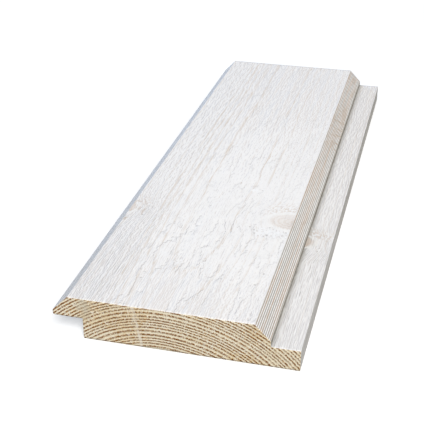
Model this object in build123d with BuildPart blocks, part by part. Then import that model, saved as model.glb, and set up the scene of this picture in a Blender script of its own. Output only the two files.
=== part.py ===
"""Double bevel cladding board: a length of shiplap for an outside wall, machined from one piece of softwood.

The board lies on its back with its sawn face up. X runs across it from the lip to the lap, Y along it, and Z
up from the back, with the origin in the middle of the back. On a wall the lip of one board lies over the lap
of the next one, and their two bevels meet as one V groove.
"""

import os

from build123d import *

# Board, in millimetres
LENGTH = 350.0
WIDTH = 120.0  # over the lip and the lap
THICKNESS = 22.0

# Lip along one edge of the face, and lap along the other edge of the back, which goes under the next lip
LIP_WIDTH = 15.0
LAP_CLEARANCE = 0.2  # above a lap, under the lip that covers it
BACK_GAP = 1.0  # beside a lap, when the two boards meet at the foot of their bevels

# Bevel along both edges of the face
BEVEL_RUN = 7.7  # across the face
STEP_HEIGHT = 3.0  # from the lap up to the foot of the bevel

# Eased corners
NOSE_RADIUS = 1.0  # under the lip
BACK_RADIUS = 0.5  # along both edges of the back

# What follows from the joint: the lap is half the board, and the bevels stop above it
lap_thickness = THICKNESS / 2
lap_width = LIP_WIDTH - BACK_GAP
rebate_height = lap_thickness + LAP_CLEARANCE
bevel_drop = THICKNESS - lap_thickness - STEP_HEIGHT

with BuildPart() as board:
    # Blank, with the rebate under the lip and the step down to the lap
    with BuildSketch(Plane.XZ):
        Rectangle(WIDTH, THICKNESS, align=(Align.CENTER, Align.MIN))
        with Locations((-WIDTH / 2, 0)):
            Rectangle(LIP_WIDTH, rebate_height, align=Align.MIN, mode=Mode.SUBTRACT)
        with Locations((WIDTH / 2, THICKNESS)):
            Rectangle(lap_width, THICKNESS - lap_thickness, align=Align.MAX, mode=Mode.SUBTRACT)
    extrude(amount=LENGTH / 2, both=True)

    # Bevels
    face = board.faces().sort_by(Axis.Z)[-1]
    chamfer(face.edges().filter_by(Axis.Y), length=BEVEL_RUN, length2=bevel_drop, reference=face)

    # Eased corners
    nose_corner = board.edges().filter_by(Axis.Y).group_by(Axis.X)[0].sort_by(Axis.Z)[0]
    fillet(nose_corner, radius=NOSE_RADIUS)
    back_corners = board.faces().sort_by(Axis.Z)[0].edges().filter_by(Axis.Y)
    fillet(back_corners, radius=BACK_RADIUS)

board.part.label = "cladding_board"
os.makedirs("parts", exist_ok=True)
export_step(board.part, "parts/cladding_board.step")
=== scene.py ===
"""Looks of the double bevel cladding board: its primed wood, the floor it lies on, the light and the view."""

import math

import bmesh
import bpy
import mathutils
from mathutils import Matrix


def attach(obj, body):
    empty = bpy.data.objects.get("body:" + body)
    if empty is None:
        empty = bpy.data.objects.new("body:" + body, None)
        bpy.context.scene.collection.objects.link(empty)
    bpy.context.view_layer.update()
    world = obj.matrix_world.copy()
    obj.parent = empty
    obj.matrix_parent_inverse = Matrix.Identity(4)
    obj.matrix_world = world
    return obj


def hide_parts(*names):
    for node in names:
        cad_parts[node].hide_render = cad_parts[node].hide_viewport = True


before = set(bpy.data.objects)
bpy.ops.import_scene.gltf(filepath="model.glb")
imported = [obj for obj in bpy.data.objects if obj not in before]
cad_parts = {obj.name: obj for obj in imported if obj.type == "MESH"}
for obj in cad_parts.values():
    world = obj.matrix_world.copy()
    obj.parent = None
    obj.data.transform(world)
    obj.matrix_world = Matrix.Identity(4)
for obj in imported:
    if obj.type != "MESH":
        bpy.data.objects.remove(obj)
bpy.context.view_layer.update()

# Board
# A length of spruce machined on all sides to one shiplap section, so it is that section drawn out along the
# grain. It is cut into small cells, because what the saw and the cutters leave is real shape on the mesh.
MM = 0.001
NEAR_END = -175.0 * MM
LENGTH = 350.0 * MM
NOSE_X = -60.0 * MM
FACE_LEFT = -52.3 * MM
FACE_RIGHT = 38.3 * MM
STEP_X = 46.0 * MM
LAP_EDGE = 60.0 * MM
LAP_Z = 11.0 * MM
BEVEL_FOOT = 14.0 * MM
FACE_Z = 22.0 * MM
NOSE_HEIGHT = 2.0 * MM
BACK_EASE = 0.6 * MM
ARRIS_EASE = 0.25 * MM
ARRIS_FACETS = 2
ARRISES = (
    (NOSE_X, BEVEL_FOOT),
    (FACE_LEFT, FACE_Z),
    (FACE_RIGHT, FACE_Z),
    (STEP_X, BEVEL_FOOT),
    (LAP_EDGE, LAP_Z),
)
CELLS_ACROSS = (  # start, end and number of cells
    (NOSE_X, FACE_LEFT, 14),
    (FACE_LEFT, FACE_RIGHT, 176),
    (FACE_RIGHT, STEP_X, 28),
    (STEP_X, LAP_EDGE, 24),
)
CELLS_UP = (
    (0.0, LAP_Z, 13),
    (LAP_Z, BEVEL_FOOT, 4),
    (BEVEL_FOOT, FACE_Z, 14),
)
CUTS_ALONG = 6
FINE_CUTS_ALONG = 38
LONG_EDGE = 20.0 * MM
SAME_PLACE = 0.02 * MM
SQUARE_ON = 0.9  # share of its normal from which a face counts as facing a way
FACETS_IN_LINE = math.radians(12)
UNFOLD_ANGLE = math.radians(35)
UNFOLD_MARGIN = 0.004

bpy.ops.object.select_all(action="DESELECT")
board = bpy.data.objects.new("board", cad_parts["cladding_board"].data.copy())
board.data.materials.clear()
board.data.uv_layers.new(name="OFBake")
bpy.context.scene.collection.objects.link(board)
bpy.context.view_layer.objects.active = board
board.select_set(True)


def pick(kind, rule):
    """Select the faces, edges or vertices of the board that follow a rule, in edit mode."""
    bpy.ops.mesh.select_mode(type={"faces": "FACE", "edges": "EDGE", "verts": "VERT"}[kind])
    bpy.ops.mesh.select_all(action="DESELECT")
    body = bmesh.from_edit_mesh(board.data)
    for element in getattr(body, kind):
        if rule(element):
            element.select_set(True)
    bmesh.update_edit_mesh(board.data)


# The near end's outline, with its sharp arrises eased
bpy.ops.object.mode_set(mode="EDIT")
bpy.ops.mesh.select_all(action="SELECT")
bpy.ops.mesh.remove_doubles(threshold=SAME_PLACE)
bpy.ops.mesh.dissolve_limited(angle_limit=FACETS_IN_LINE)
pick("faces", lambda face: face.normal.y > -SQUARE_ON)
bpy.ops.mesh.delete(type="FACE")
pick("verts", lambda v: any(math.dist((v.co.x, v.co.z), arris) < SAME_PLACE for arris in ARRISES))
bpy.ops.mesh.bevel(offset=ARRIS_EASE, segments=ARRIS_FACETS, affect="VERTICES")


def slice_section(direction, stretches):
    """Cut the section across a direction, at even steps in each stretch and at both its ends."""
    for start, end, cells in stretches:
        for i in range(cells + 1):
            place = start + (end - start) * i / cells
            bpy.ops.mesh.select_all(action="SELECT")
            bpy.ops.mesh.bisect(plane_co=[place * d for d in direction], plane_no=direction)


slice_section((1, 0, 0), CELLS_ACROSS)
slice_section((0, 0, 1), CELLS_UP)

# Drawn out to the far end, and divided along the grain wherever the surface shows relief
bpy.ops.mesh.select_all(action="SELECT")
bpy.ops.mesh.extrude_region_move(TRANSFORM_OT_translate={"value": (0, LENGTH, 0)})
bpy.ops.mesh.select_all(action="SELECT")
bpy.ops.mesh.normals_make_consistent(inside=False)
bpy.ops.uv.smart_project(angle_limit=UNFOLD_ANGLE, island_margin=UNFOLD_MARGIN, scale_to_bounds=True)


def runs_along(edge):
    return abs(edge.verts[0].co.y - edge.verts[1].co.y) > LONG_EDGE


def has_relief(edge):
    x, _, z = edge.verts[0].co
    on_lip = z > BEVEL_FOOT - NOSE_HEIGHT and x < FACE_LEFT
    on_lap = z > BACK_EASE and x > STEP_X - SAME_PLACE
    return on_lip or on_lap or z > BEVEL_FOOT + SAME_PLACE


pick("edges", runs_along)
bpy.ops.mesh.subdivide(number_cuts=CUTS_ALONG)
pick("edges", lambda edge: runs_along(edge) and has_relief(edge))
bpy.ops.mesh.subdivide(number_cuts=FINE_CUTS_ALONG)
bpy.ops.object.mode_set(mode="OBJECT")

# Wood
# The board was sawn from the outer part of a spruce log whose centre lay under it. Each face cuts the same
# years, so they are counted from that centre, in millimetres, and each finish shows them in its own way.
PITH_X = -4.2
PITH_Z = -44.1
PITH_DRIFT_X = -2.3  # by the near end, where the log bends
PITH_DRIFT_Z = -2.9
LOG_OVAL = 0.10  # flatter to the right of the centre, by the near end
DRIFT_START = -60.0
WANDER = 1.2
WANDER_PITCH = (0.018, 0.009, 0.018)  # per millimetre across, along and through, as each pitch below
YEAR_GROWTH = 1.7
GROWTH_SLOWING = 0.00198
SLOWING_RADIUS = 60.0
GOOD_YEARS_CYCLE = 10.37
GOOD_YEARS_MIDDLE = 56.4
GOOD_YEARS_SWING = 0.227
GOOD_YEARS_RADII = (78.0, 70.0)
YEARS_START = 0.289
RIGHT_KNOT = (38.4, -75.5, 14.8, 9.4)  # middle across and along, radius across and along
LEFT_KNOT = (-57.5, -80.0, 9.0, 8.0)
KNOTS = (RIGHT_KNOT, LEFT_KNOT)
KNOT_TAPER = 0.015  # for each millimetre under the face
KNOT_BULGE = 3.0
KNOT_BULGE_REACH = (2.4, 0.7)


def add_node(tree, kind, inputs, output=0, **options):
    """Add a node, set its options, set or link its inputs by name or place, and give back one output."""
    node = tree.nodes.new(kind)
    for name, value in options.items():
        setattr(node, name, value)
    for key, value in inputs.items():
        if isinstance(value, bpy.types.NodeSocket):
            tree.links.new(value, node.inputs[key])
        else:
            node.inputs[key].default_value = value
    return node.outputs[output]


def calc(tree, operation, *values):
    return add_node(tree, "ShaderNodeMath", dict(enumerate(values)), operation=operation)


def times(tree, first, *others):
    """The product of several values."""
    product = first
    for other in others:
        product = calc(tree, "MULTIPLY", product, other)
    return product


def total(tree, *weighted):
    """The sum of several values, each with its weight."""
    result = 0.0
    for value, weight in weighted:
        result = calc(tree, "MULTIPLY_ADD", value, weight, result)
    return result


def centred(tree, noise):
    """Noise as a swing to both sides of nothing."""
    return calc(tree, "SUBTRACT", noise, 0.5)


def fade(tree, value, start, end):
    """Nothing at start, all at end, and smooth between them."""
    inputs = {"Value": value, "From Min": start, "From Max": end}
    return add_node(tree, "ShaderNodeMapRange", inputs, interpolation_type="SMOOTHSTEP")


def calc_place(tree, operation, *values):
    return add_node(tree, "ShaderNodeVectorMath", dict(enumerate(values)), operation=operation)


def split_place(tree, place):
    return [add_node(tree, "ShaderNodeSeparateXYZ", {0: place}, i) for i in range(3)]


def distance(tree, aside):
    return add_node(tree, "ShaderNodeVectorMath", {0: aside}, 1, operation="LENGTH")


def grain_noise(tree, place, pitch, detail=2.0, roughness=0.5, output=0):
    """Noise with a pitch of its own across, along and through the wood."""
    inputs = {
        "Vector": calc_place(tree, "MULTIPLY", place, pitch),
        "Scale": 1.0,
        "Detail": detail,
        "Roughness": roughness,
    }
    return add_node(tree, "ShaderNodeTexNoise", inputs, output)


def spot_reach(tree, place, spot):
    """Distance from a spot's middle, as a share of its radius that way."""
    middle_x, middle_y, radius_x, radius_y = spot
    aside = calc_place(tree, "SUBTRACT", place, (middle_x, middle_y, 0.0))
    return distance(tree, calc_place(tree, "MULTIPLY", aside, (1 / radius_x, 1 / radius_y, 0.0)))


def knot_reach(tree, place, knot):
    """Distance from a knot's middle, as a share of its radius, which is smaller deeper in the wood."""
    under = calc(tree, "SUBTRACT", FACE_Z / MM, split_place(tree, place)[2])
    return times(tree, spot_reach(tree, place, knot), total(tree, (under, KNOT_TAPER), (1.0, 1.0)))


def log_radius(tree, place):
    """Distance from the log's centre, which bulges round the knots, and how far the rings lean over there."""
    x, y, z = split_place(tree, place)
    inputs = {"Value": y, "From Min": DRIFT_START, "From Max": NEAR_END / MM}
    run = add_node(tree, "ShaderNodeMapRange", inputs)
    drift = times(tree, run, run)
    across = calc(tree, "SUBTRACT", calc(tree, "SUBTRACT", x, PITH_X), times(tree, drift, PITH_DRIFT_X))
    oval = times(tree, drift, calc(tree, "GREATER_THAN", across, 0.0), -LOG_OVAL)
    across = total(tree, (across, 1.0), (times(tree, across, oval), 1.0))
    up = calc(tree, "SUBTRACT", calc(tree, "SUBTRACT", z, PITH_Z), times(tree, drift, PITH_DRIFT_Z))
    radius = calc(tree, "SQRT", calc(tree, "ADD", times(tree, across, across), times(tree, up, up)))
    lean = calc(tree, "DIVIDE", calc(tree, "ABSOLUTE", across), radius)
    wander = centred(tree, grain_noise(tree, place, WANDER_PITCH, 1.0))
    radius = total(tree, (radius, 1.0), (wander, WANDER))
    for knot in KNOTS:
        bulge = fade(tree, knot_reach(tree, place, knot), *KNOT_BULGE_REACH)
        radius = total(tree, (radius, 1.0), (bulge, KNOT_BULGE))
    return radius, lean


def years(tree, radius):
    """Years grown at a radius. Good and lean spells come and go, so the rings are wide and narrow in turn."""
    turn = times(tree, calc(tree, "SUBTRACT", radius, GOOD_YEARS_MIDDLE), 2 * math.pi / GOOD_YEARS_CYCLE)
    spell = times(tree, calc(tree, "SINE", turn), fade(tree, radius, *GOOD_YEARS_RADII))
    outward = calc(tree, "SUBTRACT", radius, SLOWING_RADIUS)
    slowing = times(tree, outward, outward)
    return total(
        tree,
        (radius, 1 / YEAR_GROWTH),
        (spell, -GOOD_YEARS_SWING),
        (slowing, GROWTH_SLOWING),
        (YEARS_START, 1.0),
    )


def year_parts(tree, count):
    """Share of its year that the wood grew in, and a number of that year's own."""
    share = calc(tree, "FRACT", count)
    own = add_node(tree, "ShaderNodeTexWhiteNoise", {"W": calc(tree, "FLOOR", count)}, noise_dimensions="1D")
    return share, own


# Sawn face
# The face and the lap are left as the band saw cut them and sprayed with one coat of white primer. The saw
# tears the flat grain into thin flakes and pits it round the knots, and the years show faintly through.
PRIMER_WHITE = (0.962, 0.946, 0.934, 1)
LAP_WHITE = (0.955, 0.95, 0.955, 1)
PRIMER_WARM = (0.815, 0.772, 0.745, 1)
# cool primer tone, also used as painted shade in the years' grooves
COOL_PRIMER_AND_SHADE = (0.805, 0.795, 0.805, 1)
FIBRE_LEE_SHADE = (0.66, 0.635, 0.62, 1)
YEAR_STREAK = (0.74, 0.65, 0.565, 1)
TEAR_SHADE = (0.42, 0.39, 0.375, 1)
KNOT_SHOW = (0.82, 0.745, 0.68, 1)
KNOT_HEART = (0.66, 0.53, 0.43, 1)
KNOT_RIM = (0.96, 0.945, 0.925, 1)
KNOT_FRINGE = (0.66, 0.55, 0.46, 1)
# brightest white, used as painted highlight on lit flake edges, chips, the knots' fringe and splinters
SPLINTER_HIGHLIGHT = (0.985, 0.98, 0.98, 1)
BARK_MARK = (0.56, 0.45, 0.36, 1)
LAP_CORNER_SHADE = (0.27, 0.248, 0.205, 1)
SAWN_ROUGHNESS = 0.7
FACE_MIDDLE = 0.5 * (FACE_LEFT + FACE_RIGHT) / MM
FACE_HALF = 0.5 * (FACE_RIGHT - FACE_LEFT) / MM
BETWEEN_LEVELS = 16.0  # higher than the lap and lower than the face
LEFT_STRIP = (-27.0, -38.0)  # across the board, where a zone begins and where it is full
TORN_ACROSS = (-36.0, -26.0)
RIGHT_SIDE = (8.0, 22.0)
TORN_ALONG = (-50.0, -95.0)  # along the board
NEAR_STRIP = (-40.0, -150.0)
FAR_PART = (-90.0, 0.0)
SPRAY_MIDDLE = -60.0
SPLINTER = (11.0, -42.6, 3.4, 2.3)  # middle across and along, half width and half length
CHIPPED_PATCH = (28.0, -90.5, 9.0, 4.5)
SPLINTERS = (SPLINTER, CHIPPED_PATCH)
BARK_MARKS = (
    (-44.2, -83.0, 0.9, 4.5),
    (-47.5, -80.5, 0.6, 3.0),
    (-51.2, -93.5, 1.2, 2.6),
    (-52.0, -73.0, 0.9, 2.4),
    (0.2, -35.0, 0.6, 2.4),
)
KNOT_BEND = 0.32  # of the knot's radius, by which the grain goes round it
KNOT_BEND_REACH = (3.0, 0.8)
SWAY = (1.8, 8.0, 0.0)
SWAY_PITCH = (0.05, 0.02, 0.05)
FIBRE_PITCH = (1.05, 0.045, 1.05)
DASH_PITCH = (1.05, 0.10, 1.05)
PATCH_PITCH = (0.11, 0.035, 0.11)
BREAK_PITCH = (0.17, 0.07, 0.17)
SCALE_PITCH = (0.16, 0.10, 0.16)
PIT_PITCH = (0.42, 0.45, 0.42)
CLOUD_PITCH = (0.06, 0.012, 0.06)
TINT_PITCH = (0.42, 0.008, 0.42)
STRAND_PITCH = (2.1, 0.10, 2.1)
LINE_PITCH = (0.45, 0.010, 0.45)
CRINKLE_PITCH = (0.95, 0.45, 0.95)
RAGGED_PITCH = (0.6, 0.25, 0.6)
LONG_FLAKES = (0.10, (0.10, 0.028, 0.1), 4.4, (0.5, 0.33, 0.5), 1.0)  # slope, pitch and size of lobes, jags
SHORT_FLAKES = (0.05, (0.22, 0.14, 0.2), 3.6, (0.8, 0.6, 0.8), 1.0)
EDGE_REACH = (-0.19, 0.30, 0.0)  # away from the lamp
NEAR_EMBOSS = ((2.2, 0.11, 2.2), 0.24)  # pitch of the fibre, and how far to each side the painted shading compares its height
FAR_EMBOSS = ((1.3, 0.16, 1.3), 0.38)
SHORT_EMBOSS = ((1.5, 0.42, 1.5), 0.32)
LEAST_LEAN = 0.08
FIBRE_DEPTH = 0.12
DASH_DEPTH = 0.05
FLAKE_DEPTH = 0.15
TEAR_DEPTH = 0.14
PIT_DEPTH = 0.3
SAWN_BUMP = 0.40
MM_PER_METRE = (1000.0, 1000.0, 1000.0)


def rest(tree, share):
    """What a share leaves over."""
    return calc(tree, "SUBTRACT", 1.0, share)


def join_place(tree, x, y, z):
    return add_node(tree, "ShaderNodeCombineXYZ", {0: x, 1: y, 2: z})


def mixed(tree, share, base, over):
    return add_node(tree, "ShaderNodeMix", {0: share, 6: base, 7: over}, 2, data_type="RGBA")


def between(tree, share, first, second):
    """A value that goes from the first to the second with a share."""
    return total(tree, (first, 1.0), (times(tree, share, calc(tree, "SUBTRACT", second, first)), 1.0))


def new_finish(name, rule):
    """A material for the faces that follow a rule, its shader, and the place on the wood in millimetres."""
    finish = bpy.data.materials.new(name)
    finish.use_nodes = True
    tree = finish.node_tree
    shader = tree.nodes["Principled BSDF"]
    place = calc_place(tree, "MULTIPLY", add_node(tree, "ShaderNodeTexCoord", {}, 3), MM_PER_METRE)
    slot = len(board.data.materials)
    board.data.materials.append(finish)
    for face in board.data.polygons:
        if rule(face):
            face.material_index = slot
    return finish, tree, shader, place


def coat(tree, shader, colour, height, depth):
    """Give a shader its colour and the fine relief that is too small for the mesh, depth in millimetres."""
    tree.links.new(colour, shader.inputs["Base Color"])
    bump = add_node(tree, "ShaderNodeBump", {"Height": height, "Distance": depth * MM, "Strength": 1.0})
    tree.links.new(bump, shader.inputs["Normal"])


def relief_tree(finish, name):
    """Geometry nodes for the vertices under a finish, and the place on the wood in millimetres."""
    tree = bpy.data.node_groups.new(name, "GeometryNodeTree")
    for way in ("INPUT", "OUTPUT"):
        tree.interface.new_socket("Geometry", in_out=way, socket_type="NodeSocketGeometry")
    mesh_in = tree.nodes.new("NodeGroupInput").outputs[0]
    place = calc_place(tree, "MULTIPLY", add_node(tree, "GeometryNodeInputPosition", {}), MM_PER_METRE)
    worked = add_node(tree, "GeometryNodeMaterialSelection", {0: finish})
    return tree, mesh_in, place, worked


def cut_relief(tree, mesh_in, worked, depth, direction):
    """Move the worked vertices by a depth in millimetres along a direction, and apply that to the board."""
    inputs = {0: direction, "Scale": times(tree, depth, MM)}
    offset = add_node(tree, "ShaderNodeVectorMath", inputs, operation="SCALE")
    inputs = {"Geometry": mesh_in, "Selection": worked, "Offset": offset}
    moved = add_node(tree, "GeometryNodeSetPosition", inputs)
    tree.links.new(moved, tree.nodes.new("NodeGroupOutput").inputs[0])
    modifier = board.modifiers.new(tree.name, "NODES")
    modifier.node_group = tree
    bpy.ops.object.modifier_apply(modifier=modifier.name)


def flake_edges(tree, place, slope, lobe_pitch, lobes, jag_pitch, jags):
    """Thin flakes that lie over each other: how far up each is lifted, its shaded edge and its lit edge."""
    heights = []
    for way in ("SUBTRACT", "ADD"):
        shifted = calc_place(tree, way, place, EDGE_REACH)
        across = split_place(tree, shifted)[0]
        lobe = grain_noise(tree, shifted, lobe_pitch, 2.0, 0.55)
        jag = grain_noise(tree, shifted, jag_pitch, 2.0, 0.6)
        heights.append(total(tree, (across, slope), (lobe, lobes), (jag, jags)))
    drop = calc(tree, "SUBTRACT", *[calc(tree, "FLOOR", height) for height in heights])
    lifted = calc(tree, "FRACT", heights[0])
    shaded = calc(tree, "MAXIMUM", drop, 0.0)
    lit = calc(tree, "MAXIMUM", times(tree, drop, -1.0), 0.0)
    return lifted, shaded, lit


def torn_grain(tree, place):
    """What the saw left on a face: fibre, tears, flakes and pits, by the flat face before it was torn."""
    x, y, z = split_place(tree, place)
    upper = calc(tree, "GREATER_THAN", z, BETWEEN_LEVELS)
    level = calc(tree, "MULTIPLY_ADD", upper, (FACE_Z - LAP_Z) / MM, LAP_Z / MM)
    flat = join_place(tree, x, y, level)
    sway = grain_noise(tree, flat, SWAY_PITCH, 1.0, output=1)
    sway = calc_place(tree, "MULTIPLY", calc_place(tree, "SUBTRACT", sway, (0.5, 0.5, 0.5)), SWAY)
    swayed = calc_place(tree, "ADD", flat, sway)
    for knot in KNOTS:
        middle_x, _, radius_x, _ = knot
        side = calc(tree, "SIGN", calc(tree, "SUBTRACT", x, middle_x))
        bend = fade(tree, knot_reach(tree, flat, knot), *KNOT_BEND_REACH)
        push = times(tree, bend, side, -KNOT_BEND * radius_x)
        swayed = calc_place(tree, "ADD", swayed, join_place(tree, push, 0.0, 0.0))
    fibre = grain_noise(tree, swayed, FIBRE_PITCH, 1.0, 0.6)
    dashes = grain_noise(tree, swayed, DASH_PITCH, 1.0)

    near = fade(tree, y, *TORN_ALONG)
    inner = times(tree, fade(tree, x, *TORN_ACROSS), upper)
    right = times(tree, fade(tree, x, *RIGHT_SIDE), upper)
    patches = fade(tree, grain_noise(tree, flat, PATCH_PITCH), 0.36, 0.48)
    broken = fade(tree, grain_noise(tree, swayed, BREAK_PITCH), 0.36, 0.50)
    torn = times(tree, patches, inner, total(tree, (near, 0.35), (right, -0.25), (0.65, 1.0)), broken)
    scales = fade(tree, grain_noise(tree, flat, SCALE_PITCH), 0.48, 0.6)
    scaly = times(tree, scales, inner, total(tree, (right, 0.25), (near, 0.15), (0.12, 1.0)))
    long_lift, long_shade, long_lit = flake_edges(tree, swayed, *LONG_FLAKES)
    short_lift, short_shade, short_lit = flake_edges(tree, swayed, *SHORT_FLAKES)
    shaded_tear = calc(tree, "MAXIMUM", times(tree, long_shade, torn), times(tree, short_shade, scaly))
    lit = calc(tree, "MAXIMUM", times(tree, long_lit, torn), times(tree, short_lit, scaly))
    flake = total(tree, (times(tree, long_lift, torn), 1.0), (times(tree, short_lift, scaly), 0.5))

    cell = {"Vector": calc_place(tree, "MULTIPLY", swayed, PIT_PITCH), "Scale": 1.0}
    off_pit = add_node(tree, "ShaderNodeTexVoronoi", cell)
    chance = split_place(tree, add_node(tree, "ShaderNodeTexVoronoi", cell, 1))[0]
    likely = times(tree, right, near, 0.03)
    for knot in KNOTS:
        reach = knot_reach(tree, flat, knot)
        ring = times(tree, fade(tree, reach, 2.3, 1.7), fade(tree, reach, 0.95, 1.1))
        near_side = fade(tree, y, knot[1] - 3.0, knot[1] - 9.0)
        likely = total(tree, (likely, 1.0), (times(tree, ring, near_side), 0.16))
    for splinter in SPLINTERS:
        likely = total(tree, (likely, 1.0), (fade(tree, spot_reach(tree, flat, splinter), 1.6, 1.0), 0.20))
    pit = times(tree, fade(tree, off_pit, 0.38, 0.14), calc(tree, "LESS_THAN", chance, likely))
    return flat, swayed, fibre, dashes, shaded_tear, lit, flake, pit


def emboss_shading(tree, place, pitch, reach):
    """Painted light and shade of a fibre: its height on one side across the grain minus its height on the
    other.
    """
    sides = []
    for way in ("ADD", "SUBTRACT"):
        side = calc_place(tree, way, place, (reach, 0.0, 0.0))
        sides.append(grain_noise(tree, side, pitch, 1.0))
    return calc(tree, "SUBTRACT", *sides)


sawn_primer, tree, shader, place = new_finish(
    "sawn_primer", lambda face: face.normal.z > SQUARE_ON and face.center.z > LAP_Z - MM
)
flat, swayed, fibre, dashes, shaded_tear, lit, flake, pit = torn_grain(tree, place)

# Zones of the face and the lap
x, y, z = split_place(tree, flat)
below = calc(tree, "LESS_THAN", z, BETWEEN_LEVELS)
upper = rest(tree, below)
far = fade(tree, y, *FAR_PART)
right = fade(tree, x, *RIGHT_SIDE)
right_upper = times(tree, right, upper)
left = fade(tree, x, *LEFT_STRIP)
left_near = times(tree, left, fade(tree, y, *NEAR_STRIP))
left_far = times(tree, left, far)
swirl = times(tree, fade(tree, knot_reach(tree, flat, RIGHT_KNOT), 2.6, 1.3), below)
chipped = times(tree, fade(tree, spot_reach(tree, flat, CHIPPED_PATCH), 1.5, 0.6), upper)
both_ends = total(tree, (fade(tree, y, -105.0, -160.0), 0.065), (fade(tree, y, 20.0, 120.0), 0.06))
off_spray = calc(tree, "ABSOLUTE", calc(tree, "SUBTRACT", y, SPRAY_MIDDLE))
well_sprayed = times(tree, fade(tree, off_spray, 150.0, 30.0), fade(tree, x, -45.0, 5.0))

# Painted light and shade on the fibre, as primer colour: one side of each fibre lighter and the other darker
long_grit = between(tree, far, emboss_shading(tree, swayed, *NEAR_EMBOSS), emboss_shading(tree, swayed, *FAR_EMBOSS))
short_share = total(
    tree,
    (right_upper, 0.20),
    (left, 0.22),
    (left_near, -0.22),
    (left_far, -0.20),
    (below, -0.20),
    (0.35, 1.0),
)
grit = between(tree, short_share, long_grit, emboss_shading(tree, swayed, *SHORT_EMBOSS))
coarse = total(
    tree,
    (far, 0.12),
    (left, 1.55),
    (times(tree, right, far), 0.30),
    (left_far, 0.25),
    (below, 0.50),
    (swirl, 0.5),
    (chipped, 1.3),
    (0.70, 1.0),
)
clouds = grain_noise(tree, flat, CLOUD_PITCH, 3.0, 0.6)
tint = grain_noise(tree, swayed, TINT_PITCH)
strands = grain_noise(tree, swayed, STRAND_PITCH)
lines = grain_noise(tree, swayed, LINE_PITCH)
# Primer coverage and tone, with the fibre's painted light and shade added in
coverage_and_shade = total(
    tree,
    (strands, 0.14),
    (times(tree, grit, coarse), 1.0),
    (fibre, 0.06),
    (lines, 0.05),
    (clouds, 0.15),
    (0.14, 1.0),
    (times(tree, both_ends, upper), -1.0),
    (left_near, -0.10),
    (left, 0.055),
    (left_far, 0.08),
    (right_upper, 0.035),
    (swirl, 0.09),
    (chipped, 0.12),
    (below, -0.06),
    (times(tree, below, fade(tree, y, -90.0, -150.0)), 0.03),
    (times(tree, below, fade(tree, y, -90.0, -30.0)), -0.04),
    (times(tree, below, fade(tree, y, 0.0, 90.0)), 0.025),
    (well_sprayed, 0.09),
)
cold = fade(tree, total(tree, (tint, 1.0), (left, 0.03), (below, 0.12)), 0.42, 0.60)
thin_coat = mixed(tree, cold, PRIMER_WARM, COOL_PRIMER_AND_SHADE)
full_coat = mixed(tree, below, PRIMER_WHITE, LAP_WHITE)
colour = mixed(tree, fade(tree, coverage_and_shade, 0.40, 0.22), full_coat, thin_coat)
# Painted shade: in the left strip the darker side of each fibre is darkened further
lee_shade = times(tree, fade(tree, grit, 0.0, -0.12), left, total(tree, (left_near, 0.38), (0.40, 1.0)))
colour = mixed(tree, lee_shade, colour, FIBRE_LEE_SHADE)

# Years that show through it, with painted shade in their grooves
radius, lean = log_radius(tree, flat)
unsteady = total(tree, (radius, 1.0), (centred(tree, fibre), 1.0))
share, own = year_parts(tree, years(tree, unsteady))
spread = calc(tree, "DIVIDE", YEAR_GROWTH, calc(tree, "MAXIMUM", lean, LEAST_LEAN))
before = times(tree, rest(tree, share), spread)
after = times(tree, share, spread)
new_year = fade(tree, after, 1.2, 0.3)
# Painted shade: thin cool grey lines where each year begins, for the shadow in the earlywood's grooves, most
# in the left strip
year_groove_shade = times(tree, new_year, total(tree, (left, 0.20), (0.06, 1.0)), fade(tree, lines, 0.65, 0.4))
colour = mixed(tree, year_groove_shade, colour, COOL_PRIMER_AND_SHADE)
year_end = times(tree, fade(tree, before, 1.2, 0.1), fade(tree, after, 0.0, 0.35))
own_strength = total(tree, (fade(tree, own, 0.1, 0.9), 0.52), (fade(tree, radius, 74.0, 70.0), 0.58))
by_zone = total(tree, (right, -0.40), (far, 0.25), (1.12, 1.0))
streak = times(tree, year_end, own_strength, fade(tree, clouds, 0.30, 0.55), by_zone)
colour = mixed(tree, streak, colour, YEAR_STREAK)

# Tears, pits, painted shade in the lap's corner by the step, and the chipped patch
# Painted shadow on the flake edges that face away from the lamp and in the pits, painted highlight on the
# edges that face it
colour = mixed(tree, times(tree, shaded_tear, 0.46), colour, TEAR_SHADE)
colour = mixed(tree, times(tree, lit, 0.9), colour, SPLINTER_HIGHLIGHT)
colour = mixed(tree, times(tree, pit, 0.55), colour, TEAR_SHADE)
# Painted shade: the lap darkened next to the step, where the step shades it, a little less by the near end
corner_shade_strength = total(tree, (fade(tree, y, -90.0, -160.0), -0.16), (0.80, 1.0))
corner_shade = times(tree, fade(tree, x, STEP_X / MM + 3.0, STEP_X / MM - 0.9), below, corner_shade_strength)
colour = mixed(tree, corner_shade, colour, LAP_CORNER_SHADE)
crinkle = grain_noise(tree, swayed, CRINKLE_PITCH, 1.0)
# Painted shadow and painted highlight on the crumpled chips of the chipped patch
colour = mixed(tree, times(tree, chipped, fade(tree, crinkle, 0.46, 0.36), 0.5), colour, TEAR_SHADE)
colour = mixed(tree, times(tree, chipped, fade(tree, crinkle, 0.52, 0.62), 0.9), colour, SPLINTER_HIGHLIGHT)

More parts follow.
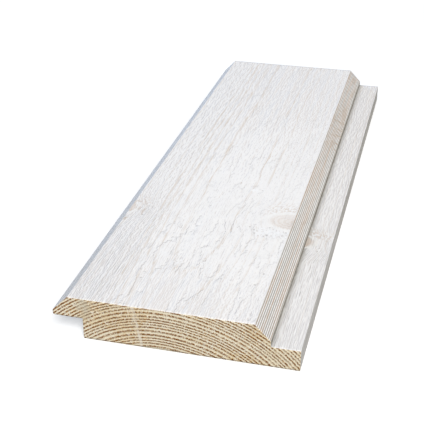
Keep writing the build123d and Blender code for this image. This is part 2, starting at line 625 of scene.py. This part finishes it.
# Knots with their fringe on the far side, bark and splinters
for knot in KNOTS:
    middle_x, middle_y, radius_x, _ = knot
    reach = total(tree, (knot_reach(tree, flat, knot), 1.0), (centred(tree, fibre), 0.25))
    beyond = fade(tree, y, middle_y, middle_y + 8.0)
    fringe = times(tree, fade(tree, reach, 2.5, 1.5), fade(tree, reach, 1.05, 1.25), beyond)
    fringe = times(tree, fringe, fade(tree, x, middle_x - 1.3 * radius_x, middle_x - 0.7 * radius_x))
    colour = mixed(tree, times(tree, fringe, fade(tree, crinkle, 0.53, 0.40), 0.55), colour, KNOT_FRINGE)
    # Painted highlight on the fringe's small flakes
    colour = mixed(tree, times(tree, fringe, fade(tree, crinkle, 0.56, 0.64), 0.8), colour, SPLINTER_HIGHLIGHT)
    core = total(tree, (fade(tree, reach, 1.0, 0.0), 0.24), (fade(tree, dashes, 0.6, 0.4), 0.16))
    rings = fade(tree, calc(tree, "PINGPONG", reach, 0.11), 0.03, 0.10)
    near_right = total(tree, (x, 0.5), (y, -0.6), (0.6 * middle_y - 0.5 * middle_x, 1.0))
    shady = fade(tree, near_right, -5.0, 4.0)
    heart = total(tree, (core, 0.5), (rings, 0.20), (shady, 0.22), (below, 0.20))
    colour = mixed(tree, times(tree, fade(tree, reach, 1.02, 0.9), 0.20), colour, KNOT_SHOW)
    colour = mixed(tree, times(tree, fade(tree, reach, 1.0, 0.8), heart), colour, KNOT_HEART)
    rim = times(tree, fade(tree, reach, 1.16, 1.04), fade(tree, reach, 0.88, 1.0), 0.85)
    colour = mixed(tree, rim, colour, KNOT_RIM)
ragged = centred(tree, grain_noise(tree, flat, RAGGED_PITCH))
for mark in BARK_MARKS:
    off_mark = total(tree, (spot_reach(tree, flat, mark), 1.0), (ragged, 2.2))
    colour = mixed(tree, times(tree, fade(tree, off_mark, 1.1, 0.4), upper, 0.5), colour, BARK_MARK)
for splinter in SPLINTERS:
    off_splinter = total(tree, (spot_reach(tree, flat, splinter), 1.0), (ragged, 4.0))
    # Splinters lifted from the face, drawn white as painted highlight
    raised = times(tree, fade(tree, off_splinter, 0.9, 0.5), rest(tree, pit))
    colour = mixed(tree, raised, colour, SPLINTER_HIGHLIGHT)
sawn_height = total(
    tree,
    (strands, 0.25),
    (times(tree, centred(tree, strands), total(tree, (left, 0.3), (below, 0.3))), 1.0),
    (times(tree, grit, calc(tree, "MINIMUM", coarse, 1.3)), 0.9),
    (times(tree, fibre, total(tree, (far, -0.18), (0.3, 1.0))), 1.0),
    (flake, -0.44),
    (shaded_tear, -0.24),
)
shader.inputs["Roughness"].default_value = SAWN_ROUGHNESS
coat(tree, shader, colour, sawn_height, SAWN_BUMP)

# The same tears as shape, let out before the edges of the face and of the lap
tree, mesh_in, place, worked = relief_tree(sawn_primer, "saw_tears")
_, _, fibre, dashes, shaded_tear, _, flake, pit = torn_grain(tree, place)
x, _, z = split_place(tree, place)
off_middle = calc(tree, "ABSOLUTE", calc(tree, "SUBTRACT", x, FACE_MIDDLE))
on_face = fade(tree, off_middle, FACE_HALF - 0.2, FACE_HALF - 1.6)
on_face = times(tree, on_face, calc(tree, "GREATER_THAN", z, FACE_Z / MM - 0.1))
off_step = fade(tree, x, STEP_X / MM + 0.2, STEP_X / MM + 1.4)
off_edge = fade(tree, x, LAP_EDGE / MM - 0.2, LAP_EDGE / MM - 1.4)
on_lap = times(tree, off_step, off_edge, calc(tree, "COMPARE", z, LAP_Z / MM, 0.1))
sawn_depth = total(
    tree,
    (fibre, FIBRE_DEPTH),
    (dashes, DASH_DEPTH),
    (flake, FLAKE_DEPTH),
    (shaded_tear, TEAR_DEPTH),
    (pit, PIT_DEPTH),
)
sawn_depth = times(tree, sawn_depth, calc(tree, "MAXIMUM", on_face, on_lap))
cut_relief(tree, mesh_in, worked, sawn_depth, (0.0, 0.0, -1.0))

# Planed edges
# The bevels, the step, the lap's edge, the nose and the rebate are cut by the moulder's knives, and the same
# primer lies thinner on them. The bevel knife is toothed, so it leaves ten ribs with the wood bare between;
# on the left bevel the grooves are drawn grey as painted shade.
PLANED_PRIMER = (0.78, 0.77, 0.75, 1)
PLANED_DULL = (0.66, 0.64, 0.61, 1)
RIB_WHITE = (0.95, 0.945, 0.94, 1)
RIB_GROOVE_SHADE = (0.32, 0.30, 0.29, 1)
RIB_OLIVE = (0.32, 0.29, 0.25, 1)
RIB_BROWN = (0.45, 0.31, 0.205, 1)
STAIN = (0.46, 0.33, 0.21, 1)
STEP_SHADE = (0.225, 0.203, 0.158, 1)
STEP_DEEP_SHADE = (0.085, 0.065, 0.022, 1)
EDGE_SHADE = (0.40, 0.375, 0.33, 1)
PLANED_ROUGHNESS = 0.6
RIBS = 10
RIB_DEPTH = 0.14
RIB_BITE = (0.72, -0.69)  # towards the middle, and down
BEVEL_RUN = (STEP_X - FACE_RIGHT) / MM
CHATTER_NEAR = 20.0
CHATTER_FAR = 115.0
CHATTER_FADE = 30.0
WORN_PITCH = (3.7, 0.012, 0.0)  # by the rib's number, and along it
CHATTER_PITCH = (1.0, 0.05, 0.0)
CHATTER_SLANT = (0.40, 0.45)
FINE_PITCH = (1.6, 0.35, 1.6)
STAIN_PITCH = (0.30, 0.035, 0.30)
PLANED_PITCH = (0.9, 0.02, 0.9)
EDGE_PATCH_PITCH = (0.4, 0.012, 0.4)
PLANED_BUMP = 0.1


def knife_ribs(tree, place):
    """Ribs along a bevel: the height of a rib, the number it has from the top, and where the bevel is."""
    x, _, z = split_place(tree, place)
    off_middle = calc(tree, "ABSOLUTE", calc(tree, "SUBTRACT", x, FACE_MIDDLE))
    down = times(tree, calc(tree, "SUBTRACT", off_middle, FACE_HALF), RIBS / BEVEL_RUN)
    rib = total(tree, (calc(tree, "COSINE", times(tree, down, 2 * math.pi)), 0.5), (0.5, 1.0))
    over_foot = fade(tree, z, BEVEL_FOOT / MM, BEVEL_FOOT / MM + 0.3)
    under_face = fade(tree, z, FACE_Z / MM, FACE_Z / MM - 0.3)
    return rib, calc(tree, "FLOOR", down), times(tree, over_foot, under_face)


planed_primer, tree, shader, place = new_finish(
    "planed_primer", lambda face: abs(face.normal.y) < SQUARE_ON and face.normal.z <= SQUARE_ON
)
rib, number, bevel = knife_ribs(tree, place)
x, y, z = split_place(tree, place)
on_right = calc(tree, "GREATER_THAN", x, 0.0)

# Ribs with grooves between: on the right worn to bare wood, stained and chattered; on the left the grooves
# are grey painted shade and take a little more of the bevel
worn = grain_noise(tree, join_place(tree, number, y, 0.0), WORN_PITCH, 3.0, 0.6)
right_groove = mixed(tree, fade(tree, worn, 0.40, 0.60), RIB_OLIVE, RIB_BROWN)
groove = mixed(tree, on_right, RIB_GROOVE_SHADE, right_groove)
far_right = times(tree, fade(tree, y, -20.0, 120.0), on_right)
groove_share = total(
    tree,
    (fade(tree, rib, 0.75, 0.25), 0.95),
    (fade(tree, worn, 0.45, 0.75), 0.25),
    (rest(tree, on_right), 0.05),
    (far_right, 0.04),
)
ribbed = mixed(tree, groove_share, RIB_WHITE, groove)
slant = total(tree, (y, CHATTER_SLANT[0]), (z, CHATTER_SLANT[1]))
chatter = fade(tree, grain_noise(tree, join_place(tree, slant, z, 0.0), CHATTER_PITCH), 0.52, 0.62)
from_near = fade(tree, y, CHATTER_NEAR, CHATTER_NEAR + CHATTER_FADE)
to_far = fade(tree, y, CHATTER_FAR, CHATTER_FAR - CHATTER_FADE)
stained = fade(tree, grain_noise(tree, place, STAIN_PITCH, 3.0, 0.6), 0.50, 0.66)
stained = times(tree, stained, total(tree, (fade(tree, y, -60.0, 60.0), 0.22), (0.22, 1.0)))
stained = calc(tree, "MAXIMUM", stained, times(tree, chatter, from_near, to_far, 0.70))
ribbed = mixed(tree, times(tree, stained, on_right), ribbed, STAIN)

# Plain planed faces, with painted shade on the step and on the edge of the lap
dull = fade(tree, grain_noise(tree, place, PLANED_PITCH, 3.0, 0.6), 0.6, 0.4)
plain = mixed(tree, dull, PLANED_PRIMER, PLANED_DULL)
off_step = calc(tree, "ABSOLUTE", calc(tree, "SUBTRACT", x, STEP_X / MM))
under_bevel = fade(tree, z, BEVEL_FOOT / MM + 0.1, BEVEL_FOOT / MM - 0.2)
step = times(tree, fade(tree, off_step, 0.4, 0.2), under_bevel)
# Painted shade: the step drawn dark, darker towards the far end
step_shade = mixed(tree, times(tree, fade(tree, y, -160.0, -30.0), 0.62), STEP_SHADE, STEP_DEEP_SHADE)
plain = mixed(tree, times(tree, step, 0.97), plain, step_shade)
# Painted shade on the lap's edge, in patches and deeper towards the far end
edge_patches = fade(tree, grain_noise(tree, place, EDGE_PATCH_PITCH, 3.0, 0.6), 0.62, 0.40)
edge_shade = total(tree, (edge_patches, 0.40), (fade(tree, y, -150.0, 60.0), 0.46), (0.25, 1.0))
edge = times(tree, fade(tree, x, LAP_EDGE / MM - 0.4, LAP_EDGE / MM - 0.1), edge_shade)
plain = mixed(tree, edge, plain, EDGE_SHADE)
colour = mixed(tree, bevel, plain, ribbed)
fine = grain_noise(tree, place, FINE_PITCH, 3.0, 0.6)
colour = mixed(tree, times(tree, fade(tree, fine, 0.55, 0.35), 0.4), colour, PLANED_DULL)
shader.inputs["Roughness"].default_value = PLANED_ROUGHNESS
coat(tree, shader, colour, fine, PLANED_BUMP)

# The same ribs as shape
tree, mesh_in, place, worked = relief_tree(planed_primer, "knife_ribs")
rib, _, bevel = knife_ribs(tree, place)
side = calc(tree, "SIGN", calc(tree, "SUBTRACT", split_place(tree, place)[0], FACE_MIDDLE))
inward = join_place(tree, times(tree, side, -RIB_BITE[0]), 0.0, RIB_BITE[1])
cut_relief(tree, mesh_in, worked, times(tree, rest(tree, rib), bevel, RIB_DEPTH), inward)

# Sawn ends
# Both ends are cross-cut after priming, so they are bare end grain: pale earlywood and brown latewood in arcs
# round the log's centre, broken into short strokes by the fine rays that cross them.
EARLYWOOD = (0.93, 0.845, 0.645, 1)
EARLYWOOD_WARM = (0.88, 0.75, 0.51, 1)
LATEWOOD = (0.20, 0.070, 0.006, 1)
LATEWOOD_PALE = (0.40, 0.19, 0.04, 1)
FLECK_PALE = (0.97, 0.92, 0.78, 1)
RAY_PALE = (0.86, 0.79, 0.66, 1)
DUSTY = (0.63, 0.58, 0.46, 1)
END_ROUGHNESS = 0.85
END_SHINE = 0.15
RAYS = (  # angle from upright in degrees, half width, strength
    (-10.95, 0.55, 0.95),
    (-11.6, 1.1, 0.25),
    (22.0, 0.3, 0.35),
    (25.0, 0.3, 0.3),
    (32.7, 0.3, 0.3),
)
DUSTY_X = -43.8
DUSTY_Z = 17.0
DUSTY_RADIUS = 6.0
DUSTY_SQUEEZE = (1.3, 0.0, 0.7)
LIP_ZONE = (-46.0, -54.0)
LAP_ZONE = (36.0, 48.0)
ARC_RADIUS = 62.0
ARC_DRIFT = 0.01
JAG_PITCH = (1.6, 0.30, 1.0)  # along the arcs, outwards and along the board
STROKE_PITCH = (2.1, 0.35, 1.0)
SAWDUST_PITCH = (1.3, 1.1, 1.0)
FLECK_PITCH = (2.4, 0.7, 1.0)
RAY_PITCH = (0.8, 0.22, 1.0)
WARM_PITCH = (0.05, 0.05, 0.09)
DUSTY_PITCH = (0.16, 0.0, 0.16)
END_BUMP = 0.12

_, tree, shader, place = new_finish("end_grain", lambda face: abs(face.normal.y) > SQUARE_ON)
x, y, z = split_place(tree, place)
radius, _ = log_radius(tree, place)
across = calc(tree, "SUBTRACT", x, PITH_X + PITH_DRIFT_X)
angle = calc(tree, "ARCTAN2", across, calc(tree, "SUBTRACT", z, PITH_Z + PITH_DRIFT_Z))
polar = join_place(tree, times(tree, angle, ARC_RADIUS), radius, times(tree, y, ARC_DRIFT))
jag = centred(tree, grain_noise(tree, polar, JAG_PITCH, 2.0, 0.65))
share, own = year_parts(tree, years(tree, total(tree, (radius, 1.0), (jag, 1.0))))
band = times(tree, fade(tree, share, 0.36, 0.66), fade(tree, share, 1.0, 0.95))
strokes = fade(tree, grain_noise(tree, polar, STROKE_PITCH), 0.36, 0.56)
sawdust = fade(tree, grain_noise(tree, polar, SAWDUST_PITCH, 1.0), 0.60, 0.40)
on_lip = fade(tree, x, *LIP_ZONE)
on_lap = fade(tree, x, *LAP_ZONE)
warm = times(tree, fade(tree, grain_noise(tree, place, WARM_PITCH), 0.42, 0.6), rest(tree, on_lip))
pale = mixed(tree, warm, EARLYWOOD, EARLYWOOD_WARM)
pale = mixed(tree, times(tree, sawdust, 0.14), pale, LATEWOOD_PALE)
brown = mixed(tree, strokes, LATEWOOD_PALE, LATEWOOD)
darkness = total(
    tree, (own, 0.42), (strokes, 0.45), (sawdust, 0.35), (on_lip, 0.30), (on_lap, -0.20), (0.32, 1.0)
)
colour = mixed(tree, times(tree, band, darkness), pale, brown)
flecks = fade(tree, grain_noise(tree, polar, FLECK_PITCH), 0.56, 0.63)
flecks = times(tree, flecks, total(tree, (on_lap, -0.45), (0.75, 1.0)))
colour = mixed(tree, flecks, colour, FLECK_PALE)
patchy = total(tree, (fade(tree, grain_noise(tree, polar, RAY_PITCH), 0.35, 0.6), 0.75), (0.25, 1.0))
for ray_angle, half_width, ray_strength in RAYS:
    turned = calc(tree, "SUBTRACT", angle, math.radians(ray_angle))
    off_ray = calc(tree, "ABSOLUTE", times(tree, turned, radius))
    ray = times(tree, fade(tree, off_ray, half_width * 1.8, half_width * 0.4), ray_strength, patchy)
    colour = mixed(tree, ray, colour, RAY_PALE)
off_dusty = calc_place(tree, "SUBTRACT", place, (DUSTY_X, 0.0, DUSTY_Z))
off_dusty = distance(tree, calc_place(tree, "MULTIPLY", off_dusty, DUSTY_SQUEEZE))
cloudy = centred(tree, grain_noise(tree, place, DUSTY_PITCH, 3.0, 0.6))
dusty = fade(tree, total(tree, (off_dusty, 1.0), (cloudy, 11.0)), DUSTY_RADIUS, 1.5)
colour = mixed(tree, times(tree, dusty, 0.5), colour, DUSTY)
shader.inputs["Roughness"].default_value = END_ROUGHNESS
shader.inputs["Specular IOR Level"].default_value = END_SHINE
coat(tree, shader, colour, total(tree, (band, 1.0), (strokes, 0.5)), END_BUMP)

# Back
# The back is planed flat to lie on the battens and isn't primed, so it is bare spruce: the same years in long
# arches, fine fibre between them, the small ends of the knots, and the faint ripple of the planer.
BARE_PALE = (0.74, 0.60, 0.41, 1)
BARE_WARM = (0.68, 0.51, 0.31, 1)
BARE_BROWN = (0.46, 0.27, 0.12, 1)
BARE_KNOT = (0.30, 0.15, 0.065, 1)
BACK_ROUGHNESS = 0.55
BACK_FIBRE_PITCH = (1.4, 0.03, 1.4)
BACK_CLOUD_PITCH = (0.03, 0.006, 0.03)
PLANER_RIPPLE = 2.4
BACK_BUMP = 0.05
SMOOTH_ANGLE = math.radians(50)

_, tree, shader, place = new_finish(
    "bare_back", lambda face: face.normal.z < -SQUARE_ON and face.center.z < MM
)
fibre = grain_noise(tree, place, BACK_FIBRE_PITCH, 3.0, 0.6)
radius, _ = log_radius(tree, place)
unsteady = total(tree, (radius, 1.0), (centred(tree, fibre), 0.5))
share, own = year_parts(tree, years(tree, unsteady))
band = times(tree, fade(tree, share, 0.40, 0.92), fade(tree, share, 1.0, 0.96))
warm = fade(tree, grain_noise(tree, place, BACK_CLOUD_PITCH), 0.40, 0.62)
colour = mixed(tree, warm, BARE_PALE, BARE_WARM)
colour = mixed(tree, times(tree, fade(tree, fibre, 0.56, 0.40), 0.25), colour, BARE_WARM)
colour = mixed(tree, times(tree, band, total(tree, (own, 0.35), (0.45, 1.0))), colour, BARE_BROWN)
for knot in KNOTS:
    reach = total(tree, (knot_reach(tree, place, knot), 1.0), (centred(tree, fibre), 0.2))
    rings = fade(tree, calc(tree, "PINGPONG", reach, 0.13), 0.02, 0.11)
    heart = total(tree, (rings, 0.30), (fade(tree, reach, 0.80, 0.98), 0.25), (0.40, 1.0))
    colour = mixed(tree, times(tree, fade(tree, reach, 1.05, 0.97), heart), colour, BARE_KNOT)
ripple = calc(tree, "SINE", times(tree, split_place(tree, place)[1], 2 * math.pi / PLANER_RIPPLE))
shader.inputs["Roughness"].default_value = BACK_ROUGHNESS
coat(tree, shader, colour, total(tree, (band, 0.5), (fibre, 0.6), (ripple, 0.25)), BACK_BUMP)
bpy.ops.object.shade_smooth_by_angle(angle=SMOOTH_ANGLE)

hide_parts("cladding_board")
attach(board, "root")

# Floor
# A plain pale sheet that the board lies on. The camera sees it white apart from the board's shadow, and it
# sends only a little light back up under the edges.
FLOOR_SIZE = 8.0
FLOOR_SEEN = (0.80, 0.80, 0.80, 1)
FLOOR_BOUNCE = (0.33, 0.33, 0.33, 1)
FLOOR_GLOW = 0.34
FLOOR_GLOW_AWAY = 1.0
GLOW_DISTANCE = (0.4, 1.2)
WHITE = (1, 1, 1, 1)

bpy.ops.mesh.primitive_plane_add(size=FLOOR_SIZE, location=(0, 0, 0))
floor = bpy.context.object
floor.name = "floor"


def seen_directly(tree):
    """One for what the camera sees, straight or mirrored or through glass, and nothing for other light."""
    path = tree.nodes.new("ShaderNodeLightPath").outputs
    straight = calc(tree, "MAXIMUM", path["Is Camera Ray"], path["Is Glossy Ray"])
    return calc(tree, "MAXIMUM", straight, path["Is Transmission Ray"])


paper = bpy.data.materials.new("pale_floor")
paper.use_nodes = True
tree = paper.node_tree
shader = tree.nodes["Principled BSDF"]
shader.inputs["Roughness"].default_value = 1.0
shader.inputs["Specular IOR Level"].default_value = 0.0
shader.inputs["Emission Color"].default_value = WHITE
seen = seen_directly(tree)
tree.links.new(mixed(tree, seen, FLOOR_BOUNCE, FLOOR_SEEN), shader.inputs["Base Color"])
away = fade(tree, distance(tree, add_node(tree, "ShaderNodeTexCoord", {}, 3)), *GLOW_DISTANCE)
glow = total(tree, (away, FLOOR_GLOW_AWAY - FLOOR_GLOW), (FLOOR_GLOW, 1.0))
tree.links.new(times(tree, seen, glow), shader.inputs["Emission Strength"])
floor.data.materials.append(paper)

# Light
# Soft studio light: a pale room all round, one broad lamp in front and above, and a weak cool lamp behind
# the board on the left.
ROOM_LIGHT = 0.36
ROOM_COLOUR = (0.97, 0.985, 1.0, 1)
world = bpy.data.worlds.new("studio")
world.use_nodes = True
tree = world.node_tree
background = tree.nodes["Background"]
seen = seen_directly(tree)
tree.links.new(mixed(tree, seen, ROOM_COLOUR, WHITE), background.inputs["Color"])
tree.links.new(calc(tree, "MULTIPLY_ADD", seen, 1 - ROOM_LIGHT, ROOM_LIGHT), background.inputs["Strength"])
bpy.context.scene.world = world


def add_lamp(name, place, size, power, colour):
    """A square lamp that is aimed at the middle of the board."""
    lamp = bpy.data.lights.new(name, "AREA")
    lamp.size = size
    lamp.energy = power
    lamp.color = colour
    stand = bpy.data.objects.new(name, lamp)
    stand.location = place
    stand.rotation_euler = (-mathutils.Vector(place)).to_track_quat("-Z", "Y").to_euler()
    bpy.context.scene.collection.objects.link(stand)


add_lamp("front_lamp", place=(1.2, -3.1, 3.1), size=2.1, power=175.0, colour=(1.0, 0.99, 0.975))
add_lamp("side_lamp", place=(-0.95, 0.9, 0.35), size=0.4, power=5.2, colour=(0.40, 0.63, 1.0))

# Camera
# The photograph's own view, found from the board's corners in it: a long lens, held level, in front of the
# near end, a little to the right of it and above it.
LENS_MM = 80.942
SENSOR_MM = 36.0
VIEW_PLACE = (0.1079, -0.52421, 0.26786)
VIEW_AZIMUTH = math.radians(14.364)
VIEW_ELEVATION = math.radians(27.933)
lens = bpy.data.cameras.new("camera")
lens.lens = LENS_MM
lens.sensor_width = SENSOR_MM
camera = bpy.data.objects.new("camera", lens)
camera.location = VIEW_PLACE
camera.rotation_euler = (math.pi / 2 - VIEW_ELEVATION, 0, VIEW_AZIMUTH)
bpy.context.scene.collection.objects.link(camera)
bpy.context.scene.camera = camera
bpy.context.scene.view_settings.view_transform = "Standard"
